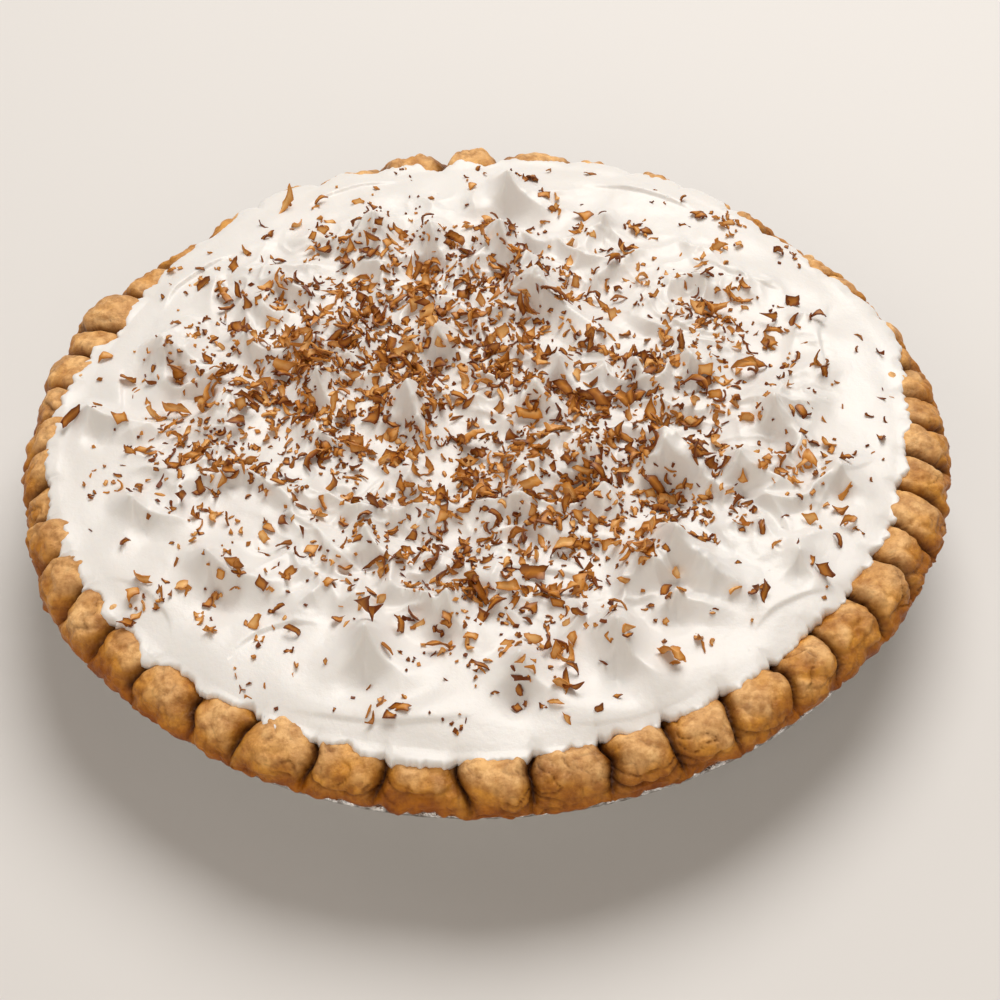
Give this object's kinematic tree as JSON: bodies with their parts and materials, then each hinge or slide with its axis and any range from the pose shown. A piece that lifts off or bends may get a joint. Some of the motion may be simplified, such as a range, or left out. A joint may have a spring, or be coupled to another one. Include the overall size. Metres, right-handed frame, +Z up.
{
  "type": "chocolate cream pie",
  "caption": "Round cream pie: fluted golden pastry in a foil tin, topped with peaked whipped cream and scattered chocolate shavings.",
  "frame": {"origin": "centre of the foil tin's flat base, on its underside", "axes": "+Z up along the pie's axis; -Y is the front, the side nearest the viewer in the picture"},
  "size_m": [0.2449, 0.2432, 0.0546],
  "materials": {
    "foil": "bright, finely crinkled",
    "pastry": "baked, golden brown",
    "whipped_cream": "soft satin white"
  },
  "bodies": {
    "root": {"foil_tin": "foil", "pastry_case": "pastry", "cream": "whipped_cream"}
  },
  "joints": []
}
